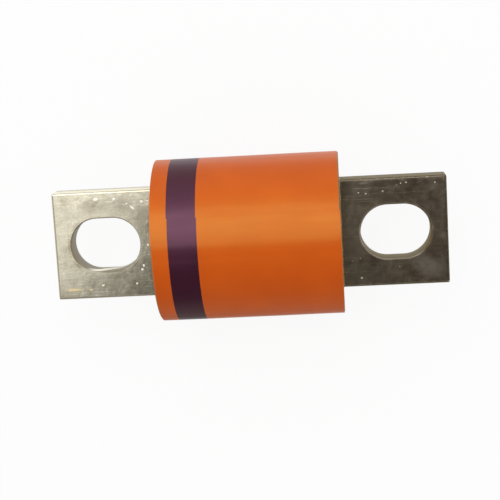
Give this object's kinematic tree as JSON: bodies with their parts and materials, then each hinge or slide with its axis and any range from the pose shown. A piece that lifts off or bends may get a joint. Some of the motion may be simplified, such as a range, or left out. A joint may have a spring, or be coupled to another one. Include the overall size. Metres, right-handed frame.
{
  "type": "bolt-on cartridge fuse",
  "caption": "Thick round fuse body with a glossy wrapped label and a flat slotted blade at each end, bolted between two busbars.",
  "frame": {"origin": "middle of the tube, on its axis, half-way between the two blade tips", "axes": "+X along the fuse, from the banded end to the plain end; +Z square to the flat faces of the blades, the way the bolts come out; +Y across the blades"},
  "size_m": [0.0924, 0.038, 0.0382],
  "materials": {
    "label_print": "glossy orange printed label with one dark plum band near the left end",
    "tube_laminate": "fine woven glass-melamine laminate, matt",
    "end_brass": "turned face, thinly tin-plated, satin",
    "tinned_copper": "tin-plated bar, satin, with handling marks and small specks",
    "pin_steel": "plain bright steel",
    "fill_brass": "bare brass, satin",
    "quartz_sand": "packed pale sand",
    "element_silver": "bright silver strip"
  },
  "bodies": {
    "root": {"wrap_label": "label_print", "body_tube": "tube_laminate", "left_end_plug": "end_brass", "right_end_plug": "end_brass", "left_blade": "tinned_copper", "right_blade": "tinned_copper", "left_drive_pins": "pin_steel", "right_drive_pins": "pin_steel", "fill_plug": "fill_brass", "sand_filler": "quartz_sand", "fuse_element_1": "element_silver", "fuse_element_2": "element_silver", "fuse_element_3": "element_silver", "fuse_element_4": "element_silver", "fuse_element_5": "element_silver", "fuse_element_6": "element_silver"}
  },
  "joints": []
}
